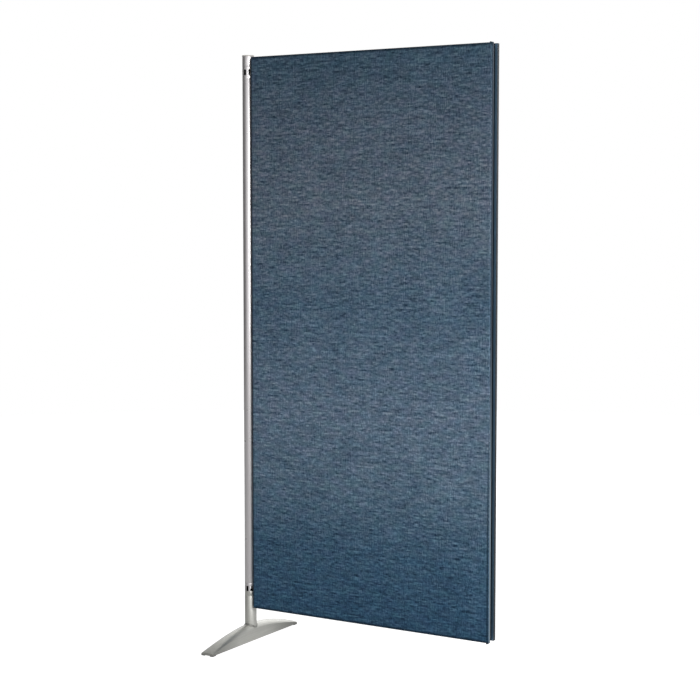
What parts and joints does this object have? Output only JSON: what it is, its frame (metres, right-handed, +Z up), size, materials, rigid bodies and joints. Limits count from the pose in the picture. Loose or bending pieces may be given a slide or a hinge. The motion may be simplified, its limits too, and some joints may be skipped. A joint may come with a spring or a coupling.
{
  "type": "partition screen",
  "caption": "Add-on bay of a partition screen: a fabric-covered panel hooked on a slotted round post with an arched foot.",
  "frame": {"origin": "on the floor, under the middle of the whole object's box", "axes": "+Z up along the post; +X from the post to the panel's free end; the foot lies along Y"},
  "size_m": [0.8256, 0.445, 1.74],
  "materials": {
    "grey_paint": "satin metallic grey paint",
    "post_metal": "satin anodised",
    "cap_plastic": "light warm grey, fine grain",
    "glide_rubber": "matt",
    "bare_steel": "zinc plated",
    "hook_steel": "dark zinc plated",
    "bar_paint": "matt dark paint",
    "edge_metal": "satin anodised, blue-grey",
    "frame_wood": "planed softwood",
    "facing_board": "smooth hardboard",
    "cover_fabric": "heathered flat weave",
    "spline_plastic": "matt"
  },
  "bodies": {
    "stand": {"foot_shell": "grey_paint", "foot_plate": "bare_steel", "foot_bolt": "bare_steel", "foot_washer": "bare_steel", "stem_insert": "bare_steel", "front_left_glide": "glide_rubber", "front_right_glide": "glide_rubber", "back_left_glide": "glide_rubber", "back_right_glide": "glide_rubber", "foot_stem": "grey_paint", "lower_slotted_collar": "post_metal", "post_tube": "post_metal", "upper_slotted_collar": "post_metal", "head_sleeve": "grey_paint", "post_cap": "cap_plastic", "stem_spigot": "post_metal", "lower_spigot": "post_metal", "upper_spigot": "post_metal", "head_spigot": "post_metal"},
    "panel": {"left_stile": "frame_wood", "free_stile": "frame_wood", "top_rail": "frame_wood", "bottom_rail": "frame_wood", "lower_middle_rail": "frame_wood", "upper_middle_rail": "frame_wood", "frame_dowels": "frame_wood", "front_facing": "facing_board", "back_facing": "facing_board", "front_cover": "cover_fabric", "back_cover": "cover_fabric", "top_spline": "spline_plastic", "bottom_spline": "spline_plastic", "left_edge_profile": "edge_metal", "free_edge_profile": "edge_metal", "left_hook_bar": "bar_paint", "free_hook_bar": "bar_paint", "bar_screws": "bare_steel", "lower_hook": "hook_steel", "upper_hook": "hook_steel", "hook_screws": "bare_steel"}
  },
  "joints": [
    {"name": "panel_lift", "type": "slide", "parent": "stand", "child": "panel", "axis": [0, 0, 1], "range_m": [0, 0.0075]}
  ]
}
